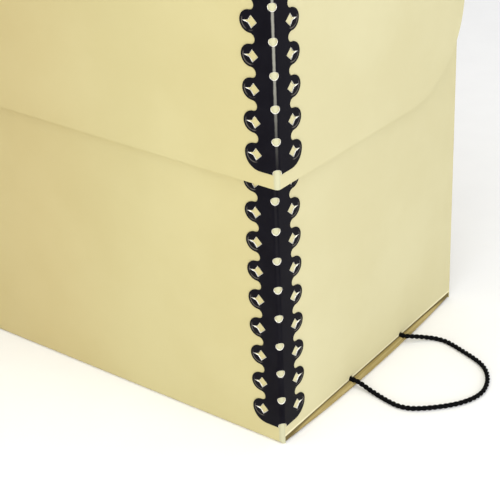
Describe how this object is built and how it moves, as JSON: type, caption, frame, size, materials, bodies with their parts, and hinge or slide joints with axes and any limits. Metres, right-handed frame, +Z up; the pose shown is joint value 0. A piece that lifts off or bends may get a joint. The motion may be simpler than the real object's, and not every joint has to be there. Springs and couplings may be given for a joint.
{
  "type": "archival document case",
  "caption": "Flip-top archival document case of board panels with perforated metal corner stays and a cord pull at one narrow end; the hinged lid folds over to the back.",
  "frame": {"origin": "centre of the footprint without the cord, on the surface that the case stands on", "axes": "+Z up, +X along the case towards the cord pull, -Y towards the lid's front flap, +Y towards the hinge"},
  "size_m": [0.3708, 0.136, 0.26],
  "materials": {
    "board": "matte solid tan archival board with a smooth pressed surface and slight fibre mottle",
    "stay_metal": "semi-gloss black enamel on thin steel strip",
    "cord": "matte black twisted cord"
  },
  "bodies": {
    "case": {"front_wall": "board", "back_wall": "board", "string_end_wall": "board", "plain_end_wall": "board", "bottom_panel": "board", "string_end_tuck_flap": "board", "plain_end_tuck_flap": "board", "inner_bottom_flap": "board", "lid_hinge_fold": "board", "string_corner_stay": "stay_metal", "plain_corner_stay": "stay_metal", "pull_cord": "cord", "rear_cord_knot": "cord", "front_cord_knot": "cord"},
    "lid": {"lid_top": "board", "lid_front_flap": "board", "lid_string_end_flap": "board", "lid_plain_end_flap": "board", "lid_string_corner_stay": "stay_metal", "lid_plain_corner_stay": "stay_metal"}
  },
  "joints": [
    {"name": "lid_hinge", "type": "hinge", "parent": "case", "child": "lid", "pos_m": [0, 0.06797, 0.26], "axis": [-1, 0, 0], "range_deg": [0, 265]}
  ]
}
